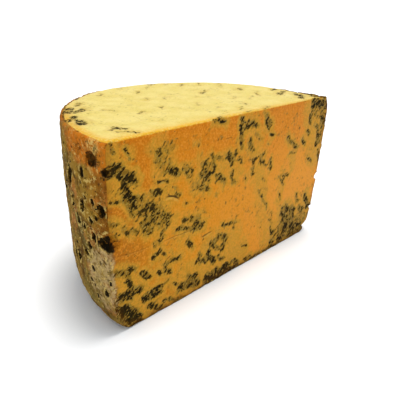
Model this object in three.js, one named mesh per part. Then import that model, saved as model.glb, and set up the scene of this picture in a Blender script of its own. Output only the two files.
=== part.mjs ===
// Half moon of an orange blue-veined cheese. A whole wheel was cut level across its middle and then
// straight down through its axis, which leaves one solid: a flat cut face in front, a flat cut top, a
// grown rind round the back and a rinded base with a soft rounded edge, which it stands on.
// Millimetres, +Z up, +X along the cut face, and the cut face looks along -Y.
import * as THREE from 'three';

// Driving dimensions of the wheel that the piece was cut from.
const WHEEL_RADIUS = 100; // rind at its widest, measured from the wheel's axis
const HEIGHT = 102; // from the resting base up to the level cut
const SIDE_LEAN = 6.5; // how far the rind draws in from the level cut down to the base
const BASE_EDGE_INSET = 9; // how far the rounded edge draws in further at the base
const BASE_EDGE_RISE = 20; // height over which that edge is rounded
const CUT_CORNER_SAG = 2.2; // how far the rind slumps in beside the two upright cuts
const CUT_CORNER_REACH = 0.12; // share of the half turn over which it slumps
const SETTLED_RISE = 6; // the rind lies flat on the shelf below this height, so its swells fade out

// The rind's slow swells: depth, waves in the half turn, waves in the height, and phase in radians.
const SWELLS = [
  { depth: 0.5, round: 3, up: 0.5, phase: 0.6 },
  { depth: 0.45, round: 7, up: 1, phase: 2.1 },
  { depth: 0.3, round: 13, up: 2, phase: 4.4 },
];

// Shallow hollows that the cloth and the ripening left in the rind: turn in degrees from the left
// cut, height above the base, half width and depth.
const HOLLOWS = [
  { turn: 2, height: 50, reach: 9, depth: 3.2 },
  { turn: 4, height: 68, reach: 7, depth: 2.2 },
  { turn: 7, height: 89, reach: 6, depth: 1.8 },
  { turn: 21, height: 40, reach: 8, depth: 1.8 },
  { turn: 38, height: 74, reach: 9, depth: 1.6 },
  { turn: 63, height: 30, reach: 10, depth: 2.0 },
  { turn: 92, height: 66, reach: 9, depth: 1.7 },
  { turn: 118, height: 26, reach: 8, depth: 1.9 },
  { turn: 141, height: 80, reach: 9, depth: 1.6 },
  { turn: 165, height: 47, reach: 7, depth: 1.9 },
];

// Facets of the rind.
const COLUMNS = 84; // round the half turn
const ROWS = 26; // up the side
const LOW_ROW_CROWDING = 1.35; // above 1, rows sit closer together on the rounded edge

const CHEESE = new THREE.MeshStandardMaterial({ color: 0xcf8a2c, roughness: 0.55, metalness: 0 });

// Distance from the wheel's axis at a height, before swells and hollows: an ellipse's quarter rounds
// the base edge, and a gentle curve leans the side inwards as it goes down.
function sideRadius(height) {
  const lean = SIDE_LEAN * (1 - height / HEIGHT) ** 2;
  const below = Math.max(0, 1 - height / BASE_EDGE_RISE);
  const edge = BASE_EDGE_INSET * (1 - Math.sqrt(1 - below * below));
  return WHEEL_RADIUS - lean - edge;
}

function swellDepth(share, rise) {
  let depth = 0;
  for (const swell of SWELLS) {
    depth += swell.depth * Math.sin(Math.PI * (swell.round * share + swell.up * rise) + swell.phase);
  }
  return depth;
}

function hollowDepth(share, height) {
  let depth = 0;
  for (const hollow of HOLLOWS) {
    const along = Math.PI * WHEEL_RADIUS * (share - hollow.turn / 180);
    const off = Math.hypot(along, height - hollow.height) / hollow.reach;
    depth += hollow.depth * Math.exp(-off * off);
  }
  return depth;
}

function cornerSag(share) {
  const fromCut = Math.min(share, 1 - share) / CUT_CORNER_REACH;
  return CUT_CORNER_SAG * Math.max(0, 1 - fromCut) ** 2;
}

// A point of the rind. share runs from 0 at the left cut to 1 at the right one, rise from base to top.
function rindPoint(share, rise) {
  const height = HEIGHT * rise ** LOW_ROW_CROWDING;
  const settled = Math.min(1, height / SETTLED_RISE);
  const relief = swellDepth(share, rise) - hollowDepth(share, height);
  const radius = sideRadius(height) - cornerSag(share) + settled * relief;
  const onCut = share === 0 || share === 1;
  const turn = Math.PI * share;
  const y = onCut ? 0 : radius * Math.sin(turn);
  return new THREE.Vector3(-radius * Math.cos(turn), y, height);
}

const index = (column, row) => column * (ROWS + 1) + row;
const span = (count) => [...Array(count + 1).keys()];

// Triangulates a flat face from the vertices on its outline, turned to look along outward.
function flatFace(points, outline, flatten, outward) {
  const contour = outline.map((i) => flatten(points[i]));
  const faces = THREE.ShapeUtils.triangulateShape(contour, []);
  return faces.flatMap(([a, b, c]) => {
    const corners = [outline[a], outline[b], outline[c]];
    const triangle = new THREE.Triangle(...corners.map((i) => points[i]));
    const facing = triangle.getNormal(new THREE.Vector3()).dot(outward);
    return facing > 0 ? corners : corners.reverse();
  });
}

function cheeseGeometry() {
  const points = [];
  for (const column of span(COLUMNS)) {
    for (const row of span(ROWS)) points.push(rindPoint(column / COLUMNS, row / ROWS));
  }

  const faces = [];
  for (let column = 0; column < COLUMNS; column += 1) {
    for (let row = 0; row < ROWS; row += 1) {
      const low = index(column, row);
      const lowNext = index(column + 1, row);
      const high = index(column, row + 1);
      const highNext = index(column + 1, row + 1);
      faces.push(low, high, highNext, low, highNext, lowNext);
    }
  }

  const fromAbove = (point) => new THREE.Vector2(point.x, point.y);
  const fromFront = (point) => new THREE.Vector2(point.x, point.z);
  const topRim = span(COLUMNS).map((column) => index(column, ROWS));
  const baseRim = span(COLUMNS).map((column) => index(column, 0));
  const leftCut = span(ROWS).map((row) => index(0, row));
  const rightCut = span(ROWS).map((row) => index(COLUMNS, row));
  faces.push(...flatFace(points, topRim, fromAbove, new THREE.Vector3(0, 0, 1)));
  faces.push(...flatFace(points, baseRim, fromAbove, new THREE.Vector3(0, 0, -1)));
  const cutOutline = [...leftCut, ...rightCut.reverse()];
  faces.push(...flatFace(points, cutOutline, fromFront, new THREE.Vector3(0, -1, 0)));

  const geometry = new THREE.BufferGeometry().setFromPoints(points);
  geometry.setIndex(faces);
  return geometry;
}

// The origin goes to the middle of the footprint, at the height of the resting base.
function standOnOrigin(geometry) {
  geometry.computeBoundingBox();
  const { min, max } = geometry.boundingBox;
  geometry.translate(-(min.x + max.x) / 2, -(min.y + max.y) / 2, -min.z);
  geometry.computeVertexNormals();
  return geometry;
}

const wedge = new THREE.Mesh(standOnOrigin(cheeseGeometry()), CHEESE);
wedge.name = 'cheese_wedge';

const cheese = new THREE.Group();
cheese.add(wedge);

export default cheese;
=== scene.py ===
import math
from functools import partialmethod

import bpy
import numpy as np
from mathutils import Matrix, Vector, noise


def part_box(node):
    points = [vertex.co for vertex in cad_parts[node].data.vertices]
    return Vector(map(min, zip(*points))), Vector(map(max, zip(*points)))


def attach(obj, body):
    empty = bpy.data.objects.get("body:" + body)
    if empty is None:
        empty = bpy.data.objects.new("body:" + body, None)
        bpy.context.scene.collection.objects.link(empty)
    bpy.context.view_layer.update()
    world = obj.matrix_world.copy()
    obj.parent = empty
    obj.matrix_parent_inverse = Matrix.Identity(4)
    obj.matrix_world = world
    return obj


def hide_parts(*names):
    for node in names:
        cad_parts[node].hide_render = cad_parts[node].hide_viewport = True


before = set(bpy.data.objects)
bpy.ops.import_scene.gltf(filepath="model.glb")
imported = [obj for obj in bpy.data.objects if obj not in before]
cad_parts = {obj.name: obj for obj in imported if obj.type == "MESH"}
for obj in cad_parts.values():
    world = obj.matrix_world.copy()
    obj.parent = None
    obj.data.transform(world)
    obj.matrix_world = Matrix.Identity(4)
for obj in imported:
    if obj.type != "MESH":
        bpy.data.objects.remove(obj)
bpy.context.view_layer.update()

NODE = "cheese_wedge"
BODY = "root"
MM = 0.001

# The form, from the frame.
node_low, node_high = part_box(NODE)
HEIGHT = (node_high.z - node_low.z) / MM
RADIUS = (node_high.y - node_low.y) / MM
CUT_PLANE = node_low.y / MM
SIDE_LEAN = 6.5
EDGE_INSET = 9.0
EDGE_RISE = 20.0
CORNER_SAG = 1.2
CORNER_REACH = 0.12

# Vertices along the cut face, into the depth and up.
COLUMNS = 201
DEPTH_ROWS = 85
HEIGHT_ROWS = 105


# ---- Node trees written as arithmetic ----

def arithmetic(operation, turned=False):
    """How a wire takes part in a sum: as the first of the two or, turned, as the second."""
    if turned:
        return lambda wire, other: wire.net.math(operation, other, wire)
    return lambda wire, other: wire.net.math(operation, wire, other)


class Wire:
    """One output of a node, which ordinary arithmetic can work on."""

    def __init__(self, net, socket):
        self.net = net
        self.socket = socket

    __add__ = arithmetic("ADD")
    __radd__ = arithmetic("ADD", turned=True)
    __sub__ = arithmetic("SUBTRACT")
    __rsub__ = arithmetic("SUBTRACT", turned=True)
    __mul__ = arithmetic("MULTIPLY")
    __truediv__ = arithmetic("DIVIDE")
    __rtruediv__ = arithmetic("DIVIDE", turned=True)
    __pow__ = arithmetic("POWER")


class Net:
    """Lays nodes on a tree and joins them."""

    def __init__(self, tree):
        self.tree = tree

    def node(self, kind, values=None, **settings):
        made = self.tree.nodes.new(kind)
        for name, value in settings.items():
            setattr(made, name, value)
        for key, value in (values or {}).items():
            self.join(made.inputs[key], value)
        return made

    def join(self, socket, value):
        if isinstance(value, Wire):
            self.tree.links.new(value.socket, socket)
        elif value is not None:
            socket.default_value = value

    def out(self, node, key=0):
        return Wire(self, node.outputs[key])

    def wire(self, kind, values=None, key=0, **settings):
        """One output of a new node."""
        return Wire(self, self.node(kind, values, **settings).outputs[key])

    def math(self, operation, *values):
        return self.wire("ShaderNodeMath", dict(enumerate(values)), operation=operation)

    sin = partialmethod(math, "SINE")
    cos = partialmethod(math, "COSINE")
    root = partialmethod(math, "SQRT")
    size = partialmethod(math, "ABSOLUTE")
    least = partialmethod(math, "MINIMUM")
    most = partialmethod(math, "MAXIMUM")
    above = partialmethod(math, "GREATER_THAN")
    below = partialmethod(math, "LESS_THAN")
    angle = partialmethod(math, "ARCTAN2")

    def rise(self, value, low, high, start=0.0, end=1.0):
        """Climbs smoothly from start to end while value goes from low to high."""
        return self.wire(
            "ShaderNodeMapRange",
            {"Value": value, "From Min": low, "From Max": high, "To Min": start, "To Max": end},
            interpolation_type="SMOOTHSTEP",
        )

    def vector(self, x, y, z):
        return self.wire("ShaderNodeCombineXYZ", {0: x, 1: y, 2: z})

    def parts(self, vector):
        made = self.node("ShaderNodeSeparateXYZ", {0: vector})
        return [self.out(made, i) for i in range(3)]

    def vector_math(self, operation, a, b=None, key=0):
        return self.wire("ShaderNodeVectorMath", {0: a, 1: b}, operation=operation, key=key)

    def grow(self, vector, factor):
        return self.wire("ShaderNodeVectorMath", {0: vector, 3: factor}, operation="SCALE")

    def length(self, vector):
        return self.vector_math("LENGTH", vector, key="Value")

    def cloud(self, place, grain, seed=0, detail=2.0, rough=0.5, twist=0.0):
        """Soft noise with lumps about grain across, in the units of place."""
        offset = (7.3 * seed * grain, 3.1 * seed * grain, 5.7 * seed * grain)
        return self.wire(
            "ShaderNodeTexNoise",
            {
                "Vector": self.vector_math("ADD", place, offset),
                "Scale": 1.0 / grain, "Detail": detail, "Roughness": rough, "Distortion": twist,
            },
        )

    def blend(self, factor, a, b):
        """Colour a where factor is 0, colour b where it is 1."""
        return self.wire("ShaderNodeMix", {"Factor": factor, 6: a, 7: b}, data_type="RGBA", key=2)

    def coats(self, tone, *coats):
        """Lays each coat's colour over the tone as far as its mask says."""
        for mask, coat in coats:
            tone = self.blend(mask, tone, coat)
        return tone


SOCKETS = {float: "NodeSocketFloat", int: "NodeSocketInt", tuple: "NodeSocketVector"}


def open_group(name, kind, inputs):
    """A node group with its named inputs: a net on its tree, and the inputs as wires."""
    tree = bpy.data.node_groups.new(name, kind)
    for key, value in inputs.items():
        socket_type = SOCKETS.get(type(value), value)
        socket = tree.interface.new_socket(key, in_out="INPUT", socket_type=socket_type)
        if type(value) in SOCKETS:
            socket.default_value = value
    net = Net(tree)
    entry = net.node("NodeGroupInput")
    return net, {key: net.out(entry, key) for key in inputs}


def close_group(net, results, kind="NodeSocketFloat"):
    """Puts the named results out of the group."""
    for key in results:
        net.tree.interface.new_socket(key, in_out="OUTPUT", socket_type=kind)
    net.node("NodeGroupOutput", results)
    return net.tree


def colour(red, green, blue):
    """A linear colour from its 0 to 255 screen values."""
    return tuple(
        c / 12.92 if c <= 0.04045 else ((c + 0.055) / 1.055) ** 2.4
        for c in (red / 255, green / 255, blue / 255)
    ) + (1.0,)


# ---- The form: a block of nodes bent into a half wheel, roughened and pitted ----

# Named inputs of the form, in millimetres. An object or a material gives its kind of socket.
FORM_INPUTS = {
    "Radius": RADIUS,
    "Height": HEIGHT,
    "Cut Plane": CUT_PLANE,
    "Side Lean": SIDE_LEAN,
    "Edge Inset": EDGE_INSET,
    "Edge Rise": EDGE_RISE,
    "Corner Sag": CORNER_SAG,
    "Corner Reach": CORNER_REACH,
    "Rim Wear": 1.1,
    "Swell": 2.2,
    "Lumps": 2.0,
    "Grit": 0.9,
    "Wire Ripple": 0.9,
    "Curd": 0.25,
    "Pits Per Square Metre": 10000.0,
    "Pit Spacing": 6.0,
    "Smallest Pit": 0.8,
    "Largest Pit": 2.7,
    "Seed": 4,
    "Hollows": "NodeSocketObject",
    "Cheese": "NodeSocketMaterial",
    "Rind": "NodeSocketMaterial",
}

# Unevenness of the rind and of the cuts: the input that gives its height, grain, detail and roughness.
RIND_WAVES = [("Swell", 34.0, 1.0, 0.5), ("Lumps", 9.0, 2.0, 0.6), ("Grit", 2.6, 2.0, 0.6)]
CUT_WAVES = [("Wire Ripple", 22.0, 1.0, 0.5), ("Curd", 4.0, 2.0, 0.6)]

# How far round the worn right-hand corner reaches, how much more it wears, and how far the wear
# of a rim reaches for its depth.
CORNER_TURN = 0.24
CORNER_WEAR = 3.8
WEAR_REACH = 2.6

# In the block's shares of 0 to 1, what counts as the end; in millimetres, what counts as the rind.
NEAR_END = 0.0001
RIND_SKIN = 0.05

# Chance pits: how strongly small ones outnumber large ones, depth for reach, and tallest for wide.
MANY_SMALL = 2.4
PIT_DEPTH = 0.9
TALLEST_PIT = 2.6

# A chance pit keeps clear of a placed hollow by so many of the hollow's reaches, and so far besides.
CLEAR_REACHES = 1.6
CLEAR_MORE = 2.2


def store(net, geometry, name, value, kind="FLOAT"):
    return net.wire(
        "GeometryNodeStoreNamedAttribute",
        {"Geometry": geometry, "Name": name, "Value": value},
        data_type=kind,
        domain="POINT",
    )


def named(net, name, kind="FLOAT"):
    return net.wire("GeometryNodeInputNamedAttribute", {"Name": name}, data_type=kind)


def position(net):
    return net.wire("GeometryNodeInputPosition")


def move(net, geometry, place):
    return net.wire("GeometryNodeSetPosition", {"Geometry": geometry, "Position": place})


def lift(net, geometry, height):
    """Moves every vertex outward by the height."""
    offset = net.grow(net.wire("GeometryNodeInputNormal"), height)
    return net.wire("GeometryNodeSetPosition", {"Geometry": geometry, "Offset": offset})


def half_wheel(net, given):
    """A block of faces bent into the half wheel, with its place in the block kept on each vertex."""
    counts = {"Vertices X": COLUMNS, "Vertices Y": DEPTH_ROWS, "Vertices Z": HEIGHT_ROWS}
    block = net.wire("GeometryNodeMeshCube", {"Size": (2.0, 1.0, 1.0), **counts})
    a, y, z = net.parts(position(net))
    b = y + 0.5
    c = z + 0.5

    # The block's plan goes to a half disc of radius 1: b is 0 on the cut face and 1 at the back.
    quarter = math.pi / 4
    half_root = math.sqrt(0.5)
    plan_x = b * net.sin(a * quarter) + a * (net.cos(b * quarter) - b * half_root)
    plan_y = b * net.cos(a * quarter) + net.sin(b * quarter) - b * half_root

    lean = given["Side Lean"] * (1.0 - c) ** 2.0
    below = net.most(1.0 - c * given["Height"] / given["Edge Rise"], 0.0)
    edge = given["Edge Inset"] * (1.0 - net.root(1.0 - below * below))
    turn = net.angle(plan_y, net.size(plan_x)) / math.pi
    sag = given["Corner Sag"] * net.most(1.0 - turn / given["Corner Reach"], 0.0) ** 2.0
    # The upper rim is worn: most at the right-hand corner of the cut, where it has crumbled.
    right_corner = net.rise(turn, CORNER_TURN, 0.0) * net.above(plan_x, 0.0)
    wear = given["Rim Wear"] * (1.0 + right_corner * CORNER_WEAR)
    out = net.root(plan_x * plan_x + plan_y * plan_y)
    up_rim = net.most(1.0 - (1.0 - c) * given["Height"] / (wear * WEAR_REACH), 0.0)
    in_rim = net.most(1.0 - (1.0 - out) * given["Radius"] / (wear * WEAR_REACH), 0.0)
    radius = given["Radius"] - lean - edge - sag - wear * up_rim * up_rim

    level_cut = net.above(c, 1.0 - NEAR_END)
    height = c * given["Height"] - level_cut * wear * in_rim * in_rim
    place = net.vector(plan_x * radius, plan_y * radius + given["Cut Plane"], height)
    inside = net.least(radius * (1.0 - out), height)

    mesh = store(net, block, "block_place", net.vector(a, b, c), "FLOAT_VECTOR")
    mesh = store(net, mesh, "rind_depth", inside)
    mesh = store(net, mesh, "cut_top", level_cut)
    ends = net.above(net.size(a), 1.0 - NEAR_END)
    arris = net.below(b, NEAR_END) * net.most(level_cut, ends)
    mesh = store(net, mesh, "arris", arris)
    return move(net, mesh, place)


def uneven(net, place, given, waves, seed):
    """The sum of soft noises, each as high as the input it is named for."""
    total = 0.0
    for step, (name, grain, detail, rough) in enumerate(waves):
        wave = net.cloud(place, grain, seed=seed + step, detail=detail, rough=rough)
        total = (wave - 0.5) * given[name] + total
    return total


def roughen(net, mesh, given):
    """Slow swells, lumps and grit on the rind, and the faint ripple a wire leaves on the cuts."""
    place = position(net)
    on_rind = net.rise(named(net, "rind_depth"), 1.2, 0.0)
    resting = net.rise(net.parts(place)[2], 0.0, 4.0, 0.25, 1.0)
    rind = uneven(net, place, given, RIND_WAVES, seed=1) * on_rind * resting
    cut = uneven(net, place, given, CUT_WAVES, seed=4) * (1.0 - on_rind)
    # The wire leaves a soft arris that has chipped here and there.
    chips = net.rise(net.cloud(place, 5.5, seed=8, detail=3.0, rough=0.7), 0.5, 0.7)
    arris = named(net, "arris") * (0.35 + chips * 1.5)
    return lift(net, mesh, rind + cut - arris)


def scatter_pits(net, mesh, given):
    """Chance pits over the rind, joined with the hollows that have a place of their own."""
    pits = net.wire(
        "GeometryNodeDistributePointsOnFaces",
        {
            "Mesh": mesh,
            "Selection": net.below(named(net, "rind_depth"), RIND_SKIN),
            "Distance Min": given["Pit Spacing"],
            "Density Max": given["Pits Per Square Metre"] * MM * MM,
            "Seed": given["Seed"],
        },
        distribute_method="POISSON",
    )
    lot = net.wire("FunctionNodeRandomValue", {"Seed": 3}, key=1, data_type="FLOAT")
    reach = given["Smallest Pit"] + (given["Largest Pit"] - given["Smallest Pit"]) * lot**MANY_SMALL
    pits = store(net, pits, "reach", reach)
    pits = store(net, pits, "deep", reach * PIT_DEPTH)
    bounds = {"Min": 1.0, "Max": TALLEST_PIT, "Seed": 5}
    tall = net.wire("FunctionNodeRandomValue", bounds, key=1, data_type="FLOAT")
    pits = store(net, pits, "tall", tall)

    placed = net.wire("GeometryNodeObjectInfo", {"Object": given["Hollows"]}, key="Geometry")
    hollows = net.wire("GeometryNodeMeshToPoints", {"Mesh": placed})

    # A chance pit too near a placed hollow is left out, so that each keeps its own outline.
    place = position(net)
    near = net.wire("GeometryNodeSampleNearest", {"Geometry": hollows}, domain="POINT")
    centre = at_nearest(net, hollows, near, place, "FLOAT_VECTOR")
    room = at_nearest(net, hollows, near, named(net, "reach"))
    away = net.length(net.vector_math("SUBTRACT", place, centre))
    crowded = net.below(away, room * CLEAR_REACHES + CLEAR_MORE)
    deleted = {"Geometry": pits, "Selection": crowded}
    pits = net.wire("GeometryNodeDeleteGeometry", deleted, domain="POINT")

    join = net.node("GeometryNodeJoinGeometry")
    net.join(join.inputs[0], pits)
    net.join(join.inputs[0], hollows)
    return net.out(join)


def at_nearest(net, source, index, value, kind="FLOAT"):
    return net.wire(
        "GeometryNodeSampleIndex",
        {"Geometry": source, "Value": value, "Index": index},
        data_type=kind,
        domain="POINT",
    )


def sink_pits(net, mesh, pits):
    """Sinks the rind at its nearest pit, with a low rim, and keeps where the pit is for the finish."""
    place = position(net)
    near = net.wire("GeometryNodeSampleNearest", {"Geometry": pits}, domain="POINT")
    centre = at_nearest(net, pits, near, place, "FLOAT_VECTOR")
    reach, deep, tall = (
        at_nearest(net, pits, near, named(net, name)) for name in ("reach", "deep", "tall")
    )

    x, y, z = net.parts(net.vector_math("SUBTRACT", place, centre))
    offset = net.vector(x / reach, y / reach, z / (reach * tall))
    mesh = store(net, mesh, "pit_offset", offset, "FLOAT_VECTOR")
    mesh = store(net, mesh, "pit_away", net.length(offset))

    wobble = (net.cloud(place, 3.0, seed=6, detail=1.0) - 0.5) * 0.9
    distance = net.length(named(net, "pit_offset", "FLOAT_VECTOR")) + wobble
    bowl = net.rise(distance, 1.05, 0.2)
    rim = net.rise(distance, 1.7, 1.15) * net.rise(distance, 0.8, 1.1)
    rim = rim * net.rise(net.cloud(place, 4.0, seed=7), 0.4, 0.6)
    resting = net.rise(net.parts(place)[2], 0.0, 3.0)
    depth = (bowl * deep - rim * 0.28) * resting
    return lift(net, mesh, depth * -1.0)


def build_form_tree():
    net, given = open_group("half_moon_form", "GeometryNodeTree", FORM_INPUTS)
    mesh = half_wheel(net, given)
    mesh = roughen(net, mesh, given)
    mesh = sink_pits(net, mesh, scatter_pits(net, mesh, given))

    mesh = move(net, mesh, net.grow(position(net), MM))
    mesh = net.wire("GeometryNodeSetShadeSmooth", {"Geometry": mesh})
    mesh = net.wire("GeometryNodeRealizeInstances", {"Geometry": mesh})
    values = {"Geometry": mesh, "Material": given["Cheese"]}
    mesh = net.wire("GeometryNodeSetMaterial", values)
    on_rind = net.below(named(net, "rind_depth"), RIND_SKIN)
    values = {"Geometry": mesh, "Selection": on_rind, "Material": given["Rind"]}
    mesh = net.wire("GeometryNodeSetMaterial", values)
    return close_group(net, {"Geometry": mesh}, "NodeSocketGeometry")


# Hollows with a place of their own: arc round the rind from the left cut (below 0 it lies that far
# in on the cut), height, reach, depth and how many times taller than wide.
HOLLOWS = [
    (-4.5, 51, 2.8, 2, 1), (-1, 53.5, 4.4, 4.2, 1.1), (4.5, 52, 3.4, 3, 1.1),
    (4, 69, 3.3, 3.2, 1.1), (313.5, 42, 4.6, 5.5, 0.6), (313, 18, 3.6, 4.4, 0.6),
    (314, 4.5, 4.6, 5.5, 0.6), (10, 92, 4.2, 2.2, 1.1), (-0.5, 88.5, 2.2, 3, 1),
    (10, 71.5, 1.5, 1.8, 1.2), (12.5, 61.5, 1.7, 2.4, 1.2), (11.5, 53, 2.2, 2.4, 1.4),
    (16, 46.5, 2.3, 2.2, 1), (18.5, 83.5, 2.2, 2, 1.5), (19.5, 67, 2.2, 2.6, 1.5),
    (20.5, 41, 3, 3, 1), (16, 33.5, 2, 1.6, 1), (26, 58, 2.4, 2.8, 1.6),
    (33, 78, 3.4, 3, 1.7), (31, 65.5, 1.8, 2.2, 2.2), (19, 26, 1.6, 1.6, 1),
    (41, 32, 2.2, 2, 2), (47, 47, 3, 2.8, 2.4), (60, 21, 2.2, 2, 1.6),
    (32, 9.5, 2.4, 2, 1), (52, 72, 3.2, 3, 2.6), (66, 56, 2.6, 2.2, 1.4),
]


def side_radius(height):
    lean = SIDE_LEAN * (1 - height / HEIGHT) ** 2
    below = max(0.0, 1 - height / EDGE_RISE)
    return RADIUS - lean - EDGE_INSET * (1 - math.sqrt(1 - below * below))


def hollow_points():
    """The placed hollows as bare vertices, in millimetres, with their reach and depth."""
    mesh = bpy.data.meshes.new("placed_hollows")
    places = []
    for arc, height, _, _, _ in HOLLOWS:
        turn = max(arc, 0.0) / RADIUS
        sag = CORNER_SAG * max(0.0, 1 - turn / math.pi / CORNER_REACH) ** 2
        radius = side_radius(height) + min(arc, 0.0) - sag
        x = -radius * math.cos(turn)
        y = CUT_PLANE + radius * math.sin(turn)
        places.append((x, y, height))
    mesh.from_pydata(places, [], [])
    for name, column in (("reach", 2), ("deep", 3), ("tall", 4)):
        values = mesh.attributes.new(name, "FLOAT", "POINT").data
        values.foreach_set("value", [row[column] for row in HOLLOWS])
    points = bpy.data.objects.new("placed_hollows", mesh)
    bpy.context.scene.collection.objects.link(points)
    return points


def form_cheese(paste, rind):
    """The finished form as a plain mesh."""
    maker = bpy.data.objects.new("form_maker", bpy.data.meshes.new("form_maker"))
    bpy.context.scene.collection.objects.link(maker)
    points = hollow_points()
    tree = build_form_tree()
    modifier = maker.modifiers.new("form", "NODES")
    modifier.node_group = tree
    given = dict(FORM_INPUTS, Hollows=points, Cheese=paste, Rind=rind)
    for item in tree.interface.items_tree:
        if item.in_out == "INPUT":
            modifier[item.identifier] = given[item.name]
    bpy.context.view_layer.update()
    graph = bpy.context.evaluated_depsgraph_get()
    mesh = bpy.data.meshes.new_from_object(maker.evaluated_get(graph))
    mesh.name = "blue_veined_half_moon"
    for used in (maker, points):
        bpy.data.objects.remove(used)
    return mesh


# ---- Where the mould grew ----

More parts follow.
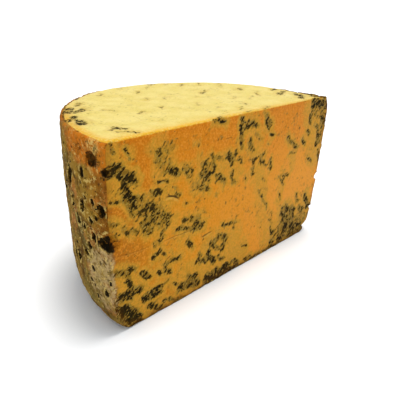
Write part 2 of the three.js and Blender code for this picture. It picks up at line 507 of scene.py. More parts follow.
# Veins on the upright cut: start and end as (x, height), half width and strength.
FACE_VEINS = [
    (-102, 88, -92, 88, 2.4, 1.5), (-92, 88, -82, 81, 2.6, 1.25), (-86, 96, -84, 93, 1.3, 0.95),
    (-88, 79, -85, 73, 2.6, 1.15), (-86, 74, -82, 70, 3.2, 1.2), (-96, 74, -90, 73, 1.2, 0.85),
    (-85, 69, -83, 65, 2, 0.85), (-80, 70, -70, 64, 3.6, 0.85), (-76, 64, -66, 60, 5, 0.8),
    (-70, 60, -60, 54, 4.6, 0.85), (-75, 57, -71, 52, 2.4, 0.95), (-62, 56, -59, 51, 2.2, 0.95),
    (-68, 92, -57, 93, 3.2, 0.6), (-66, 88, -61, 83, 4, 0.75), (-58, 81, -53, 78, 2.6, 0.95),
    (-49, 79, -43, 76, 2.4, 0.75), (-70, 72, -65, 70, 2, 0.85), (-66, 76, -60, 75, 1.1, 0.9),
    (-55, 70, -51, 67, 1.8, 0.65), (-97, 63, -92, 61, 1.5, 0.85), (-93, 57, -91, 56, 1.2, 0.75),
    (-88, 59, -86, 55, 1.6, 0.75), (-83, 56, -80, 54, 1.6, 0.85), (-61, 49, -66, 42, 2, 0.8),
    (-69, 35, -64, 37, 1.8, 0.95), (-64, 36, -60, 35, 1.2, 0.75), (-52, 46, -41, 44, 1.4, 0.9),
    (-46, 50, -33, 48, 2.2, 0.75), (-38, 43, -32, 43, 3.2, 0.9), (-43, 36, -39, 31, 2, 0.8),
    (-93, 36, -86, 33, 1.6, 0.95), (-86, 34, -81, 35, 1.3, 0.85), (-86, 30, -84, 24, 2, 0.95),
    (-76, 28, -72, 26, 1.9, 1.2), (-91, 21, -78, 20, 2.4, 1.2), (-96, 16, -88, 12, 2.4, 1.6),
    (-88, 12, -80, 4, 3.8, 1.7), (-74, 13, -64, 14, 2.8, 1.25), (-66, 16, -57, 17, 1.1, 0.95),
    (-59, 29, -49, 28, 1.9, 0.85), (-60, 26, -56, 22, 1.9, 0.8), (-65, 26, -63, 24, 1.2, 0.95),
    (-53, 13, -49, 12, 1, 0.85), (-47, 8, -34, 6, 2.8, 1.1), (-40, 13, -35, 11, 2, 0.95),
    (-34, 20, -27, 18, 2.2, 0.9), (-33, 24, -30, 22, 1.4, 0.85), (-22, 27, -16, 30, 2.2, 0.95),
    (-16, 30, -9, 26, 2.4, 0.95), (-9, 26, -10, 19, 2, 0.9), (-20, 25, -14, 21, 2.2, 0.8),
    (-24, 19, -18, 14, 2, 0.85), (-15, 16, -9, 12, 1.8, 0.8), (-24, 4, -4, 4, 3.2, 1.25),
    (-7, 35, 1, 37, 1.6, 0.5), (-3, 31, 2, 28, 1.6, 0.5), (-27, 83, -24, 80, 1.4, 0.85),
    (-32, 78, -25, 76, 2.6, 0.8), (-34, 73, -28, 71, 3.4, 0.95), (-38, 67, -29, 64, 3, 0.7),
    (-25, 80, -24, 72, 1.8, 0.85), (-22, 80, -17, 79, 1.3, 0.75), (-13, 79, -8, 74, 2.8, 0.9),
    (-6, 79, 0, 73, 2, 0.75), (-20, 69, -14, 63, 2.4, 0.8), (-7, 68, -6, 62, 1.8, 0.8),
    (-22, 59, -20, 57, 1.2, 0.65), (-46, 60, -43, 59, 1.1, 0.65), (-25, 101, -17, 99, 1.7, 1),
    (-41, 90, -37, 90, 1.2, 0.55), (-2, 98, -2, 90, 1.9, 1), (-2, 90, 0, 82, 1.9, 0.95),
    (2, 94, 9, 95, 2.2, 0.95), (9, 95, 14, 91, 1.8, 0.8), (20, 98, 23, 94, 2, 0.8),
    (23, 94, 26, 91, 2.4, 1), (8, 86, 8, 82, 1.7, 0.8), (9, 82, 11, 78, 2.2, 0.85),
    (13, 86, 19, 84, 1.3, 0.7), (28, 85, 31, 84, 1.1, 0.9), (27, 79, 28, 79, 1, 0.8),
    (12, 72, 19, 72, 1.3, 0.75), (19, 72, 24, 74, 1.5, 0.75), (13, 70, 13, 63, 1.7, 0.8),
    (20, 69, 27, 65, 2, 0.75), (31, 68, 33, 62, 1.5, 0.8), (6, 61, 7, 60, 1.2, 0.8),
    (25, 57, 28, 55, 1.3, 0.7), (22, 50, 28, 43, 1.5, 0.75), (28, 43, 33, 35, 1.6, 0.85),
    (44, 53, 56, 52, 1.8, 0.7), (48, 50, 50, 46, 1.8, 0.85), (46, 41, 49, 36, 1.4, 0.8),
    (50, 79, 56, 74, 1.9, 0.85), (56, 74, 61, 71, 1.9, 0.9), (53, 67, 60, 66, 1, 0.95),
    (69, 74, 73, 71, 1.7, 0.95), (74, 80, 77, 78, 1.6, 0.95), (75, 91, 77, 85, 1.9, 0.85),
    (74, 91, 81, 97, 1.8, 0.8), (77, 99, 97, 95, 3.4, 1.05), (87, 81, 89, 74, 2.2, 1),
    (89, 74, 90, 67, 1.9, 1), (91, 88, 97, 82, 2.6, 0.95), (82, 84, 88, 80, 1.6, 0.5),
    (80, 58, 85, 55, 1.1, 1), (81, 66, 84, 64, 1.2, 0.7), (93, 62, 97, 54, 1.8, 0.8),
    (36, 32, 41, 26, 2.4, 0.45), (38, 24, 41, 20, 1.8, 0.55), (42, 16, 45, 12, 1.9, 0.95),
    (44, 6, 46, 4, 2.2, 0.95), (29, 25, 30, 15, 1.5, 0.4), (11, 14, 14, 13, 1.1, 1),
    (2, 6, 6, 3, 2.6, 1), (13, 3, 19, 2, 2.2, 0.8), (57, 25, 62, 10, 5, 0.95),
    (60, 27, 68, 22, 3.4, 0.95), (66, 20, 72, 7, 4.6, 0.95), (70, 33, 74, 28, 1.8, 0.75),
    (77, 22, 86, 15, 3.2, 0.75), (84, 30, 90, 19, 2.2, 1.15), (75, 8, 83, 4, 3, 0.95),
    (51, 16, 55, 10, 1.6, 0.8), (53, 4, 84, 2, 2, 1), (-60, 5, -50, 2, 1.6, 0.75),
    (-70, 7, -62, 2, 1.8, 0.95), (20, 1, 50, 1, 1.2, 0.9), (93, 99, 93, 72, 4.5, 0.75),
    (78, 93, 92, 91, 7, 0.6), (54, 10, 84, 9, 9, 0.7), (-24, 22, -20, 14, 1.8, 1.1),
    (-20, 1, 4, 1, 1.5, 1.2), (-12, 36, 2, 33, 1.4, 0.8), (-98, 30, -92, 8, 2, 0.85),
    (-95, 101, -94, 96, 1.4, 0.95),
]

# Wider olive stains on the upright cut, laid out like the veins.
FACE_STAINS = [
    (6, 96, 22, 62, 9, 0.8), (20, 58, 38, 8, 8, 0.7), (48, 56, 47, 34, 5, 0.7),
    (54, 78, 60, 58, 5, 0.7), (78, 98, 92, 62, 13, 0.9), (56, 18, 86, 12, 12, 0.9),
    (-98, 99, -94, 76, 5, 0.8), (-66, 94, -60, 54, 8, 0.8), (-80, 70, -58, 52, 9, 0.8),
    (-36, 78, -4, 68, 9, 0.7), (-94, 30, -80, 4, 10, 0.9), (-66, 30, -34, 44, 7, 0.6),
    (-44, 12, 4, 10, 12, 0.9), (-22, 28, 0, 24, 9, 0.8),
]

# Veins on the level cut: start and end as (x, way back from the cut face), half width and strength.
TOP_VEINS = [
    (-57, 80, -52, 88, 1.6, 1), (-67, 64, -61, 70, 1.4, 0.8), (-79, 55, -73, 62, 2.2, 1.35),
    (-76, 52, -68, 57, 1.6, 1.15), (-89, 40, -82, 45, 1.8, 1.25), (-88, 32, -84, 37, 2, 1.35),
    (-84, 14, -79, 17, 1.4, 0.9), (-83, 10, -76, 6, 1.3, 1), (-79, 16, -77, 12, 1.4, 1),
    (-61, 49, -58, 44, 1.4, 0.6), (-24, 55, -19, 60, 1.3, 0.7), (-12, 53, -6, 58, 1.3, 0.6),
    (-32, 34, -28, 38, 1.1, 0.6), (-50, 32, -44, 35, 1.2, 0.6), (-9, 28, -3, 33, 1, 0.7),
    (-2, 18, 1, 20, 0.9, 0.6), (4, 7, 11, 11, 1.3, 0.6), (18, 13, 22, 17, 1.1, 0.7),
    (7, 44, 12, 48, 1.3, 0.5), (14, 38, 19, 43, 1.3, 0.5), (28, 30, 34, 34, 1.4, 0.6),
    (34, 22, 44, 28, 1.4, 0.5), (21, 51, 26, 55, 1.3, 0.7), (26, 54, 32, 59, 1.3, 0.7),
    (51, 27, 56, 33, 1.4, 0.7), (56, 33, 63, 37, 1.3, 0.6), (55, 46, 62, 51, 1.4, 0.8),
    (50, 57, 60, 70, 1.8, 0.5), (45, 75, 50, 80, 1.4, 0.6), (30, 79, 37, 83, 1.4, 0.8),
    (13, 92, 20, 97, 1.8, 0.9), (22, 88, 28, 90, 1.4, 0.6), (0, 82, 7, 88, 1.4, 0.6),
    (-15, 74, -10, 79, 1.3, 0.7), (-15, 90, -9, 96, 1.4, 0.6), (-38, 82, -34, 86, 1.2, 0.7),
    (66, 22, 80, 27, 1.8, 1), (76, 33, 85, 37, 1.5, 1.15), (90, 26, 96, 31, 1.8, 1),
    (69, 5, 80, 12, 2.2, 1.15), (75, 12, 80, 16, 1.6, 1.25), (82, 3, 97, 11, 3, 1.25),
    (80, 50, 87, 54, 1.8, 1), (62, 74, 68, 78, 1.8, 0.65), (77, 60, 82, 63, 1.8, 0.75),
    (-26, 0, -18, 1, 1.6, 1), (1, 0, 8, 2, 1.2, 0.7), (20, 0, 26, 2, 1.2, 0.7),
    (90, 1, 99, 4, 3.2, 0.85), (94, 12, 97, 20, 2.6, 0.75), (86, 16, 93, 20, 1.8, 0.7),
]

# The noise that makes a straight route waver: its seed, its grain and how far it goes.
WANDER_SEED = 5
WANDER_GRAIN = 5.0
WANDER_FAR = 1.9

# How much wider than its vein a stain is: so many half widths, and so far besides.
STAIN_WIDTHS = 1.4
STAIN_MORE = 1.6


def wandering(points):
    """The points shifted a little by smooth noise, so that what follows a straight route wavers."""
    noise.seed_set(WANDER_SEED)
    grain = WANDER_GRAIN
    shifts = [noise.noise_vector(Vector((x / grain, y / grain, 0.0)))[:2] for x, y in points]
    return (points + WANDER_FAR * np.array(shifts)).astype(np.float32)


def route_strength(points, routes):
    """How strongly the mould grows at each flat point: the strongest of the routes near it."""
    best = np.zeros(len(points))
    for x1, y1, x2, y2, half_width, strength in routes:
        start = np.array((x1, y1), float)
        along = np.array((x2 - x1, y2 - y1), float)
        share = np.clip(((points - start) @ along) / (along @ along), 0, 1)
        off = np.linalg.norm(points - start - share[:, None] * along, axis=1) / half_width
        best = np.maximum(best, strength * np.exp(-0.45 * off**3))
    return best


# Slits on the upright cut: start and end as (x, height), arch, width and strength. The slit group
# takes all but the strength.
SLIT_INPUTS = ("Start X", "Start Height", "End X", "End Height", "Arch", "Width")
SLITS = [
    (-62, 67, -50, 62.5, 1.6, 1, 1), (-66, 75.5, -60.5, 75.5, 0.8, 0.7, 0.8),
    (-33, 35, -21, 36, -0.5, 0.7, 0.8), (-66, 42.5, -32, 41, 0.6, 0.5, 0.45),
    (-95, 46, -68, 43.5, -1.2, 0.5, 0.3), (-17, 89, -9, 89, 0.6, 0.5, 0.4),
]


def slit_depth(points):
    """How deep the slits sink the cut, in millimetres."""
    deep = np.zeros(len(points))
    for x1, z1, x2, z2, arch, width, strength in SLITS:
        start = np.array((x1, z1))
        along = np.array((x2 - x1, z2 - z1))
        span = np.linalg.norm(along)
        share = ((points - start) @ along) / span**2
        off = ((points - start) @ np.array((-along[1], along[0]))) / span
        off = off - arch * 4 * share * (1 - share)
        inside = np.clip(np.minimum(share, 1 - share) * 5, 0, 1)
        deep = np.maximum(deep, strength * inside * width * np.exp(-0.5 * (off / (width + 0.3)) ** 2))
    return deep


# How far the mould sinks, how much that varies and over what grain, how near the cuts' outer
# edges it does so in the block's shares, and how much of their depth the slits sink.
SUNK_DEPTH = 0.28
SUNK_GRIT = 0.4
SUNK_GRAIN = 1.7
SUNK_INSIDE = 0.98
SLIT_SHARE = 0.2


def vertex_places(mesh):
    """Every vertex in millimetres."""
    place = np.zeros(len(mesh.vertices) * 3, np.float32)
    mesh.vertices.foreach_get("co", place)
    return place.reshape(-1, 3) / MM


def read(mesh, name, width=1):
    values = np.zeros(len(mesh.attributes[name].data) * width, np.float32)
    mesh.attributes[name].data.foreach_get("value" if width == 1 else "vector", values)
    return values if width == 1 else values.reshape(-1, width)


def write(mesh, name, values):
    made = mesh.attributes.new(name, "FLOAT", "POINT")
    made.data.foreach_set("value", values.astype(np.float32))


def grow_veins(mesh):
    """Keeps how strongly the mould grows at every vertex, wide for the stain and tight for the veins,
    and lets the mould and the slits sink into the cuts."""
    place = vertex_places(mesh)
    block = read(mesh, "block_place", 3)
    on_face = block[:, 1] < NEAR_END
    on_top = block[:, 2] > 1.0 - NEAR_END
    face_points = place[:, [0, 2]]
    top_points = place[:, [0, 1]] - (0, CUT_PLANE)
    veins = np.zeros(len(place))
    stain = np.zeros(len(place))
    for chosen, points, routes, stains in (
        (on_face, face_points, FACE_VEINS, FACE_STAINS),
        (on_top, top_points, TOP_VEINS, []),
    ):
        wavering = wandering(points[chosen])
        wide = [(*ends, width * STAIN_WIDTHS + STAIN_MORE, strength) for *ends, width, strength in routes]
        veins[chosen] = np.maximum(veins[chosen], route_strength(wavering, routes))
        stain[chosen] = np.maximum(stain[chosen], route_strength(wavering, wide + stains))
    write(mesh, "veins", veins)
    write(mesh, "stain", stain)

    # The outer edges of the cuts stay where they are.
    inside = (block[:, 0] ** 2 < SUNK_INSIDE) & (block[:, 1] < SUNK_INSIDE)
    grit = np.array([noise.noise(Vector(p) / SUNK_GRAIN) for p in place.tolist()])
    sunk = np.clip(veins, 0, 1.2) * (SUNK_DEPTH + SUNK_GRIT * grit)
    slits = slit_depth(face_points) * SLIT_SHARE
    place[:, 1] += np.where(on_face & inside & ~on_top, sunk + slits, 0.0)
    place[:, 2] -= np.where(on_top & inside & ~on_face, sunk, 0.0)
    mesh.vertices.foreach_set("co", (place * MM).astype(np.float32).ravel())
    mesh.update()


# ---- Flat layout of the surface, for the finish's own map ----

# The sheet's side, the margin round it, the strip's length and height, and where the other sides lie.
SHEET = 325.0
MARGIN = 3
ARC = math.pi * 100.0
STRIP_HEIGHT = 104
FACE_AT = (104, 113)
TOP_AT = (104, 221)
BASE_AT = (219, 216)


def lay_out(mesh):
    """Lays the rind as one strip, with the two cuts and the base beside it, at one scale."""
    block = read(mesh, "block_place", 3)
    place = vertex_places(mesh)
    corners = np.zeros(len(mesh.loops), np.int32)
    mesh.loops.foreach_get("vertex_index", corners)
    counts = np.zeros(len(mesh.polygons), np.int32)
    mesh.polygons.foreach_get("loop_total", counts)
    if not (counts == 4).all():
        raise RuntimeError("every face of the form has four corners")
    a, b, c = (block[corners][:, i].reshape(-1, 4) for i in range(3))

    def whole(values, at):
        return (np.abs(values - at) < NEAR_END).all(axis=1)

    front, back = whole(b, 0), whole(b, 1)
    base, top = whole(c, 0), whole(c, 1)
    left, right = whole(a, -1), whole(a, 1)
    x, y, z = (place[corners][:, i].reshape(-1, 4) for i in range(3))
    u = np.zeros_like(a)
    v = np.zeros_like(a)
    ends = np.where(right[:, None], 1 - b / 4, 0.25 + (a + 1) / 4)
    share = np.where(left[:, None], b / 4, ends)
    side = (left | right | back) & ~(top | base)
    u[side] = MARGIN + share[side] * ARC
    v[side] = MARGIN + c[side] * STRIP_HEIGHT
    for chosen, across, up, (start_u, start_v) in (
        (front, x, z, FACE_AT),
        (top, x, y - CUT_PLANE, TOP_AT),
        (base, y - CUT_PLANE, x, BASE_AT),
    ):
        u[chosen] = start_u + across[chosen]
        v[chosen] = start_v + up[chosen]
    layout = mesh.uv_layers.new(name="OFBake")
    layout.data.foreach_set("uv", (np.stack([u, v], -1) / SHEET).astype(np.float32).ravel())


# ---- Finishes ----

# Screen colours of the cheese.
PASTE_SHADED = colour(168, 98, 10)
PASTE = colour(207, 132, 20)
PASTE_LIT = colour(217, 142, 42)
PASTE_WARM = colour(194, 110, 6)
PASTE_TOP = colour(214, 192, 102)
PASTE_TOP_PALE = colour(222, 201, 119)
PASTE_RIM_AND_GLOW = colour(222, 166, 34)
OLIVE = colour(186, 138, 38)
MOULD = colour(42, 33, 5)
MOULD_GREY = colour(116, 92, 22)
MOULD_DEEP = colour(84, 66, 12)
MOULD_PALE = colour(164, 136, 58)
MOULD_DARK = colour(12, 9, 0)
PASTE_CRUST_AND_SHADE = colour(112, 64, 6)
FOOT_SHADE_COLOUR = colour(52, 34, 4)
RIND_TAN = colour(146, 110, 36)
RIND_BROWN = colour(88, 58, 10)
RIND_GREY = colour(110, 96, 44)
RIND_PINK = colour(176, 110, 48)
RIND_CREAM = colour(214, 182, 102)
SHADE_DARK = colour(16, 10, 1)
RIND_ORANGE = colour(200, 112, 20)
RIND_DRY = colour(190, 160, 108)
RIND_OLIVE = colour(126, 108, 50)

# Places on the crust with a finish of their own: middle and reach in millimetres.
BARE_CORNER = ((-98.0, CUT_PLANE, 78.0), (40.0, 17.0, 34.0))
BARE_RIM = ((-98.0, CUT_PLANE + 8.0, 98.0), (40.0, 34.0, 13.0))
CRUMBLED_RIM = ((-99.0, CUT_PLANE + 8.0, 99.0), (7.0, 6.0, 4.0))
DRY_CORNER = ((-94.0, CUT_PLANE + 6.0, 31.0), (16.0, 15.0, 19.0))
CAVITIES = [
    ((-98.5, CUT_PLANE, 52.8), (6.6, 4.5, 5.0)),
    ((-95.5, CUT_PLANE, 50.2), (4.2, 3.0, 2.8)),
    ((-99.5, CUT_PLANE, 88.0), (4.2, 3.0, 2.4)),
]

# The curd was pressed aslant, so the mould's lines lean over to the right.
LINE_TILT = math.radians(38)
# Where a line starts to show in the pattern, and how soft its edge is.
LINE_LEVEL = 0.718
LINE_EDGE = 0.014


def open_finish(name, numbers):
    """A shared shader group, which takes a place and the named numbers."""
    return open_group(name, "ShaderNodeTree", {"Place": (0.0, 0.0, 0.0), **numbers})


def use(net, tree, place, values=None):
    """Lays a shared group down, and gives its outputs by name."""
    made = net.node("ShaderNodeGroup", {"Place": place, **(values or {})}, node_tree=tree)
    return {socket.name: Wire(net, socket) for socket in made.outputs}


def build_mould_group():
    """Mould grown in the gaps of the curd: short crooked lines in a duller patch."""
    net, given = open_finish("mould_growth", {"Growth": 0.0, "Grain": 1.0})
    place = net.grow(given["Place"], 1.0 / given["Grain"])
    x, y, z = net.parts(place)
    along = x * math.cos(LINE_TILT) + z * math.sin(LINE_TILT)
    across = z * math.cos(LINE_TILT) - x * math.sin(LINE_TILT)
    slanted = net.vector(along * 0.5, y, across)

    blots = net.cloud(place, 3.8, seed=2, rough=0.6)
    strokes = net.cloud(slanted, 1.4, seed=1, twist=0.35)
    crumbs = net.cloud(place, 0.85, seed=3, detail=1.0)
    pattern = strokes * 0.72 + blots * 0.16 + crumbs * 0.12
    growth = given["Growth"]
    # Strong growth thickens more slowly, so that its lines stay apart.
    thick = growth - net.most(growth - 0.8, 0.0) * 0.55
    dark = net.rise(pattern + thick * 0.25 - LINE_LEVEL, -LINE_EDGE, LINE_EDGE)
    dark = dark * net.rise(growth, 0.2, 1.0, 0.55, 1.0)
    body = net.rise(growth + (blots - 0.5) * 1.2 + (strokes - 0.5) * 1.2, 0.3, 0.8)
    specks = net.rise(net.cloud(place, 1.1, seed=5, detail=1.0), 0.54, 0.6)
    return close_group(net, {"Dark": dark, "Body": body, "Specks": specks * body * (1.0 - dark)})


def build_slit_group():
    """An arched slit on the upright cut: the gap itself, painted dark as shade, and the pale lip below
    it, a painted highlight.
    """
    net, given = open_finish("slit", dict.fromkeys(SLIT_INPUTS, 0.0))
    x, _, z = net.parts(given["Place"])
    from_x = x - given["Start X"]
    from_z = z - given["Start Height"]
    run_x = given["End X"] - given["Start X"]
    run_z = given["End Height"] - given["Start Height"]
    span = net.root(run_x * run_x + run_z * run_z)
    share = (from_x * run_x + from_z * run_z) / (span * span)
    off = (from_z * run_x - from_x * run_z) / span
    wander = (net.cloud(given["Place"], 3.0, seed=6, detail=3.0, rough=0.6) - 0.5) * 1.6
    off = off - given["Arch"] * 4.0 * share * (1.0 - share) - wander
    width = given["Width"]
    taper = net.rise(share, 0.0, 0.3) * net.rise(share, 1.0, 0.7)
    gap_shade = net.rise(net.size(off), width * 0.9, width * 0.3)
    lip_highlight = net.rise(net.size(off + width * 1.3), width * 1.2, width * 0.3)
    return close_group(net, {"Gap": gap_shade * taper, "Lip": lip_highlight * taper})


def build_grain_group():
    """Fine height of curd or crust at three sizes."""
    net, given = open_finish("fine_grain", {"Coarse": 4.0, "Fine": 1.0})
    place = given["Place"]
    middle = net.cloud(place, 1.0, seed=5, detail=3.0, rough=0.6)
    fine = net.cloud(net.grow(place, 1.0 / given["Fine"]), 1.0, seed=6, detail=3.0, rough=0.65)
    coarse = net.cloud(net.grow(place, 1.0 / given["Coarse"]), 1.0, seed=7)
    return close_group(net, {"Height": middle * 0.3 + fine * 0.3 + coarse * 0.4})


def patch(net, place, spot, ragged):
    """1 in the middle of a rounded spot and 0 outside it, with a ragged border."""
    middle, reach = spot
    off = net.vector_math("DIVIDE", net.vector_math("SUBTRACT", place, middle), reach)
    return net.rise(net.length(off) + (ragged - 0.5) * 1.6, 1.1, 0.6)


def build_cavity_group():
    """The hollows that break through the left edge of the cut, painted black inside as shade."""
    net, given = open_finish("cavity", {})
    place = given["Place"]
    ragged = net.cloud(place, 3.5, seed=16, rough=0.6)
    inside = 0.0
    for spot in CAVITIES:
        inside = net.most(inside, patch(net, place, spot, ragged))
    return close_group(net, {"Inside": inside})


def build_crust_group():
    """Mottled crust: tan, brown, grey-green, pink and cream patches, with painted shade along the base
    and specks of painted shadow.
    """
    net, given = open_finish("crust_colour", {})
    place = given["Place"]
    height = net.parts(place)[2]
    big = net.cloud(place, 26.0, seed=1, rough=0.6)
    middle = net.cloud(place, 9.0, seed=2, detail=3.0, rough=0.6)
    small = net.cloud(place, 2.4, seed=3, detail=3.0, rough=0.65)
    pink = net.cloud(place, 12.0, seed=4, detail=3.0, rough=0.6)
    cream = net.cloud(place, 2.6, seed=5, detail=4.0, rough=0.7)
    shadow = net.cloud(place, 2.0, seed=8, detail=4.0, rough=0.7)
    low = net.rise(height, 60.0, 10.0) * net.rise(middle, 0.42, 0.58)
    # Painted shade along the base of the rind.
    rind_foot_shade = net.rise(height + (middle - 0.5) * 24.0, 13.0, 3.0) * net.rise(small, 0.62, 0.4)

    # The corner at the left of the cut: bare orange above, crumbs on its rim, a dry crust below.
    corner = patch(net, place, BARE_CORNER, middle)
    rim = patch(net, place, BARE_RIM, middle) * net.rise(small, 0.34, 0.6, 0.35, 0.9)
    crumbs = patch(net, place, CRUMBLED_RIM, small) * net.rise(small, 0.42, 0.56)
    dry = patch(net, place, DRY_CORNER, middle) * net.rise(small, 0.36, 0.6, 0.1, 0.85)

    tone = net.coats(
        net.blend(net.rise(middle, 0.4, 0.62), RIND_BROWN, RIND_TAN),
        (net.rise(big, 0.5, 0.62) * net.rise(small, 0.35, 0.6), RIND_GREY),
        (net.rise(pink, 0.52, 0.66) * 0.7, RIND_PINK),
        (corner * 0.2, RIND_ORANGE),
        (rim, RIND_ORANGE),
        (crumbs * 0.8, RIND_CREAM),
        (dry, RIND_DRY),
        (low * 0.5, RIND_OLIVE),
        (rind_foot_shade * 0.8, RIND_BROWN),
        (net.rise(cream, 0.55, 0.66) * 0.75, RIND_CREAM),
        (net.rise(shadow, 0.46, 0.34) * 0.85, SHADE_DARK),
    )
    return close_group(net, {"Colour": tone}, "NodeSocketColor")


def new_material(name):
    material = bpy.data.materials.new(name)
    material.use_nodes = True
    material.node_tree.nodes.clear()
    net = Net(material.node_tree)
    shader = net.node("ShaderNodeBsdfPrincipled")
    net.node("ShaderNodeOutputMaterial", {"Surface": net.out(shader)})
    return material, net, shader


def finish(net, shader, values):
    """Sets each of the shader's sockets to its number, or joins its wire to it."""
    for key, value in values.items():
        net.join(shader.inputs[key], value)


def relief(net, height, strength, distance):
    """The surface's direction once it has the small heights, which are in millimetres."""
    values = {"Strength": strength, "Distance": distance * MM, "Height": height}
    return net.wire("ShaderNodeBump", values)


def attribute(net, name, key="Fac"):
    return net.wire("ShaderNodeAttribute", attribute_name=name, attribute_type="GEOMETRY", key=key)


def object_place(net):
    """The place in the object, in millimetres."""
    return net.grow(net.wire("ShaderNodeTexCoord", key="Object"), 1.0 / MM)


def upright_colour(net, place, curd, fine):
    """Orange paste of the upright cut: deeper at the left as painted shade, paler at the right as painted
    light, darker near the floor as painted shade, and warm under the rim, with a painted glow of light
    through the thin rim just below it.
    """
    x, _, z = net.parts(place)
    broad = net.cloud(place, 42.0, seed=1, detail=1.0)
    mixed = (broad - 0.5) * 70.0 + (curd - 0.5) * 60.0
    # Painted shade near the floor, strongest towards the left.
    low = net.rise(z + mixed * 0.1, 24.0, 4.0) * net.rise(x, 30.0, -30.0)
    under_rim = net.rise(z + mixed * 0.3, HEIGHT - 50.0, HEIGHT - 8.0)
    # Painted glow of light shining through the thin rim.
    rim_glow = net.rise(z + (fine - 0.5) * 3.0, HEIGHT - 6.0, HEIGHT - 1.5)
    return net.coats(
        # Painted shade towards the left and painted light towards the right.
        net.blend(net.rise(x + mixed * 0.6, -106.0, -46.0), PASTE_SHADED, PASTE),
        (net.rise(x + mixed, -50.0, 70.0) * 0.9, PASTE_LIT),
        (low * 0.35, PASTE_CRUST_AND_SHADE),
        (under_rim * 0.6, PASTE_WARM),
        (rim_glow * 0.5, PASTE_WARM),
    )


def level_colour(net, place, curd, depth):
    """Paler, yellower paste of the level cut, warmer along its edges: a painted highlight on the arris
    and a painted glow along the upright cut, and warmer paste near the rind.
    """
    x, y, _ = net.parts(place)
    from_cut = y - CUT_PLANE
    ragged = (curd - 0.5) * 6.0
    # Painted highlight on the arris along the upright cut.
    arris_highlight = net.rise(from_cut + ragged * 0.4, 4.5, 0.6) * net.rise(x, 85.0, -40.0, 0.2, 0.85)
    near_rind = net.rise(depth + ragged * 0.6, 6.5, 0.8) * net.rise(x, -55.0, -90.0) * 0.85
    # Painted glow of light through the edge along the upright cut.
    front_glow = net.rise(from_cut + ragged, 14.0, 0.0) * net.rise(x, 90.0, -70.0, 0.1, 0.3)
    return net.coats(
        net.blend(net.rise(curd, 0.35, 0.65), PASTE_TOP, PASTE_TOP_PALE),
        (front_glow, PASTE_RIM_AND_GLOW),
        (net.most(arris_highlight, near_rind), PASTE_RIM_AND_GLOW),
    )


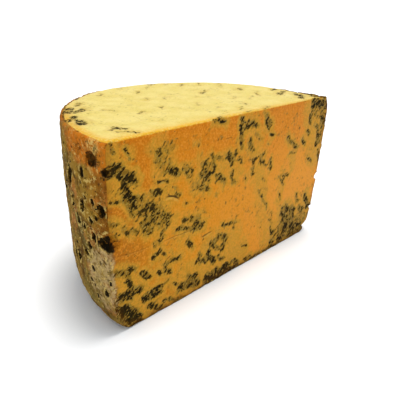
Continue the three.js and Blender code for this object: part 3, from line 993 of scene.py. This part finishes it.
def build_paste_material(shared):
    """The cut paste: waxy, orange, stained olive along the veins, with a line of rind at its rim."""
    material, net, shader = new_material("cut_paste")
    place = object_place(net)
    x, _, z = net.parts(place)
    veins = attribute(net, "veins")
    depth = attribute(net, "rind_depth")
    on_top = attribute(net, "cut_top")
    on_face = 1.0 - on_top
    curd = net.cloud(place, 9.0, seed=2, detail=3.0, rough=0.55)
    fine = net.cloud(place, 1.5, seed=3, detail=3.0, rough=0.65)
    upright = upright_colour(net, place, curd, fine)
    tone = net.blend(on_top, upright, level_colour(net, place, curd, depth))

    # Olive stain round the mould, and grains of curd that catch the light or lie in shade.
    patchy = net.cloud(place, 5.0, seed=4, detail=3.0, rough=0.6)
    stained = net.rise(attribute(net, "stain") * 0.8 + (patchy - 0.5) * 0.9, 0.22, 0.7)
    grains = net.cloud(place, 1.1, seed=10, detail=1.0, rough=0.6)
    tone = net.coats(
        tone,
        (stained * (0.85 - on_top * 0.6), OLIVE),
        (net.rise(grains, 0.5, 0.66) * 0.5, net.blend(on_top, PASTE_LIT, PASTE_TOP_PALE)),
        (net.rise(grains, 0.48, 0.33) * (0.18 - on_top * 0.1), PASTE_CRUST_AND_SHADE),
    )

    # The mould, with chance speckles away from the veins.
    drift = net.cloud(place, 18.0, seed=8)
    growth = net.most(veins, net.rise(drift, 0.4, 0.7) * 0.26 + 0.11 - on_top * 0.03)
    blue = use(net, shared["mould"], place, {"Growth": growth, "Grain": 1.0})
    dark = blue["Dark"]
    shade = net.cloud(place, 1.5, seed=9)
    faint = on_top * net.rise(veins, 1.1, 0.6) * 0.28
    fuzz = net.blend(net.rise(growth, 0.6, 1.15), MOULD_GREY, MOULD_DEEP)
    ink = net.blend(net.rise(shade, 0.38, 0.6), MOULD_DARK, MOULD)
    tone = net.coats(
        tone,
        (blue["Body"] * (0.72 - on_top * 0.35), fuzz),
        (blue["Specks"] * 0.65, MOULD_PALE),
        (dark * (0.96 - faint), ink),
    )
    # Each slit: a painted highlight on its lip and painted shade in its gap.
    for row in SLITS:
        slit = use(net, shared["slit"], place, dict(zip(SLIT_INPUTS, row)))
        strength = row[-1]
        tone = net.blend(slit["Lip"] * on_face * strength * 0.2, tone, PASTE_TOP)
        tone = net.blend(slit["Gap"] * on_face * strength * 0.85, tone, SHADE_DARK)

    # The rind shows as a thin uneven line round the cuts, with darker paste just inside it, which along
    # the base is painted shade, and a painted shade along the foot of the cut.
    uneven_edge = net.cloud(place, 5.0, seed=12, detail=3.0, rough=0.65) - 0.5
    inner = net.rise(depth + uneven_edge * 8.0, 5.5, 0.6)
    # Painted shade along the foot of the upright cut.
    cut_foot_shade = net.rise(z + uneven_edge * 7.0, 2.6, 0.4) * net.rise(x, -60.0, -20.0, 0.4, 0.8)
    reach = 0.8 + net.rise(x, -70.0, -96.0) * net.rise(z, 56.0, 44.0) * on_face * 1.8
    line = net.rise(depth / reach + uneven_edge * 2.6, 1.3, 0.6)
    crust = use(net, shared["crust"], place)
    cavity = use(net, shared["cavity"], place)
    tone = net.coats(
        tone,
        (inner * 0.35 * (1.0 - on_top * 0.8), PASTE_CRUST_AND_SHADE),
        (cut_foot_shade, FOOT_SHADE_COLOUR),
        (line * (1.0 - dark * net.rise(veins, 0.4, 0.8)), crust["Colour"]),
        # Painted shade inside the hollows at the left edge.
        (cavity["Inside"] * 0.97, SHADE_DARK),
    )

    grain = use(net, shared["grain"], place, {"Coarse": 5.0, "Fine": 0.6})["Height"]
    height = grain * 0.6 - dark * 0.6 + line * grain * 1.2
    finish(net, shader, {
        "Base Color": tone,
        "Roughness": 0.5 + (fine - 0.5) * 0.3 + line * 0.35 + dark * 0.3,
        "Normal": relief(net, height, 0.7, 0.8),
        "Subsurface Weight": 0.05,
        "Subsurface Radius": (1.0, 0.4, 0.12),
        "Subsurface Scale": 1.5 * MM,
        "IOR": 1.4,
        "Specular IOR Level": 0.07,
    })
    return material


def build_rind_material(shared):
    """The grown rind: a dry crust with mould, pitted, its pits painted dark as shade and pale rims round
    them as painted highlight.
    """
    material, net, shader = new_material("grown_rind")
    place = object_place(net)
    z = net.parts(place)[2]
    crust = use(net, shared["crust"], place)
    cavity = use(net, shared["cavity"], place)

    # Bare orange paste shows in a thin broken band below the level cut.
    ragged = net.cloud(place, 10.0, seed=11, detail=3.0, rough=0.6)
    bare = net.rise(z + (ragged - 0.5) * 26.0, HEIGHT - 3.0, HEIGHT + 2.0)

    wobble = (net.cloud(place, 3.0, seed=6, detail=1.0) - 0.5) * 0.9
    ruffle = (net.cloud(place, 0.9, seed=14) - 0.5) * 0.5
    # The way to the nearest pit jumps half way between two pits, which its length does not.
    away = net.length(attribute(net, "pit_offset", "Vector"))
    away = net.most(away, attribute(net, "pit_away") - 0.6)
    distance = away + wobble + ruffle
    shaded_pit = net.rise(distance, 0.95, 0.7)
    rim = net.rise(distance, 1.5, 1.15) * net.rise(distance, 0.85, 1.0)
    rim = rim * net.rise(net.cloud(place, 3.2, seed=15), 0.42, 0.55)

    drift = net.cloud(place, 14.0, seed=6)
    growth = net.rise(drift, 0.42, 0.75) * 0.6 + 0.05
    blue = use(net, shared["mould"], place, {"Growth": growth, "Grain": 1.1})
    tone = net.coats(
        crust["Colour"],
        (bare * 0.5, RIND_ORANGE),
        # Painted highlight on the pale rims round the pits.
        (rim * net.rise(z, HEIGHT - 8.0, HEIGHT - 24.0, 0.1, 0.7), RIND_CREAM),
        # Painted shade inside the hollows at the left edge.
        (cavity["Inside"] * 0.97, SHADE_DARK),
        (blue["Body"] * 0.5, MOULD_GREY),
        (blue["Dark"] * 0.8, MOULD_DARK),
        # Painted shade in the pits.
        (shaded_pit * net.rise(z, HEIGHT - 4.0, HEIGHT - 18.0, 0.7, 0.97), SHADE_DARK),
    )

    grain = use(net, shared["grain"], place, {"Coarse": 3.0, "Fine": 0.45})["Height"]
    finish(net, shader, {
        "Base Color": tone,
        "Roughness": 0.72 + grain * 0.2,
        "Normal": relief(net, grain * 1.4 - shaded_pit * 1.2 + rim * 0.3, 0.8, 1.2),
        "Specular IOR Level": 0.05,
    })
    return material


def build_floor_material():
    material, net, shader = new_material("pale_floor")
    finish(net, shader, {
        "Base Color": (0.95, 0.95, 0.95, 1.0),
        "Roughness": 0.9,
        "Specular IOR Level": 0.1,
    })
    return material


# ---- Studio ----

CAMERA_PLACE = (-223.3, -161.3 + CUT_PLANE, 161.6)
CAMERA_TURN = 49.48
CAMERA_DOWN = 22.57
CAMERA_ROLL = 3.39
CAMERA_LENS = 44.46

# The floor's half side in metres, and how far below the cheese's own base it lies, for its lumps.
FLOOR_HALF = 6.0
FLOOR_DROP = 0.3

# The one light, and the sky: its glow on things, and how much brighter it is to look at.
KEY_FROM = (0.13, 0.0, 1.0)
KEY_STRENGTH = 1.95
KEY_SOFTNESS = 20
KEY_TINT = (1.0, 0.97, 0.93)
SKY_TINT = (0.9, 0.95, 1.0, 1.0)
SKY_GLOW = 0.83
SKY_SEEN = 0.4


def add_camera():
    turn, down, roll = (math.radians(v) for v in (CAMERA_TURN, CAMERA_DOWN, CAMERA_ROLL))
    ahead = Vector((math.sin(turn) * math.cos(down), math.cos(turn) * math.cos(down), -math.sin(down)))
    right = Vector((math.cos(turn), -math.sin(turn), 0.0))
    up = right.cross(ahead)
    rolled_right = math.cos(roll) * right + math.sin(roll) * up
    rolled_up = math.cos(roll) * up - math.sin(roll) * right
    data = bpy.data.cameras.new("camera")
    data.lens = CAMERA_LENS
    data.clip_start = 0.01
    camera = bpy.data.objects.new("camera", data)
    turned = Matrix((rolled_right, rolled_up, -ahead)).transposed().to_4x4()
    camera.matrix_world = Matrix.Translation(Vector(CAMERA_PLACE) * MM) @ turned
    bpy.context.scene.collection.objects.link(camera)
    bpy.context.scene.camera = camera


def add_floor():
    half = FLOOR_HALF
    corners = [(-half, -half, 0), (half, -half, 0), (half, half, 0), (-half, half, 0)]
    mesh = bpy.data.meshes.new("floor")
    mesh.from_pydata(corners, [], [(0, 1, 2, 3)])
    mesh.materials.append(build_floor_material())
    floor = bpy.data.objects.new("floor", mesh)
    floor.location.z = -FLOOR_DROP * MM
    bpy.context.scene.collection.objects.link(floor)


def add_key_light():
    data = bpy.data.lights.new("key", "SUN")
    data.energy = KEY_STRENGTH
    data.angle = math.radians(KEY_SOFTNESS)
    data.color = KEY_TINT
    key = bpy.data.objects.new("key", data)
    key.rotation_mode = "QUATERNION"
    key.rotation_quaternion = Vector(KEY_FROM).normalized().to_track_quat("Z", "Y")
    bpy.context.scene.collection.objects.link(key)


def add_sky():
    """White to look at, and a softer light on the cheese."""
    world = bpy.data.worlds.new("studio")
    world.use_nodes = True
    world.node_tree.nodes.clear()
    net = Net(world.node_tree)
    seen = net.wire("ShaderNodeLightPath", key="Is Camera Ray")
    values = {"Color": SKY_TINT, "Strength": SKY_GLOW + seen * SKY_SEEN}
    net.node("ShaderNodeOutputWorld", {"Surface": net.wire("ShaderNodeBackground", values)})
    bpy.context.scene.world = world


def light_studio():
    add_sky()
    add_key_light()
    scene = bpy.context.scene
    scene.view_settings.view_transform = "Standard"
    scene.view_settings.look = "None"


# ---- The piece ----

def make_cheese():
    shared = {
        "mould": build_mould_group(),
        "grain": build_grain_group(),
        "slit": build_slit_group(),
        "crust": build_crust_group(),
        "cavity": build_cavity_group(),
    }
    paste = build_paste_material(shared)
    rind = build_rind_material(shared)
    mesh = form_cheese(paste, rind)
    grow_veins(mesh)
    lay_out(mesh)
    cheese = bpy.data.objects.new("blue_veined_half_moon", mesh)
    bpy.context.scene.collection.objects.link(cheese)
    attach(cheese, BODY)
    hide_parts(NODE)
    return cheese


add_camera()
add_floor()
light_studio()
make_cheese()
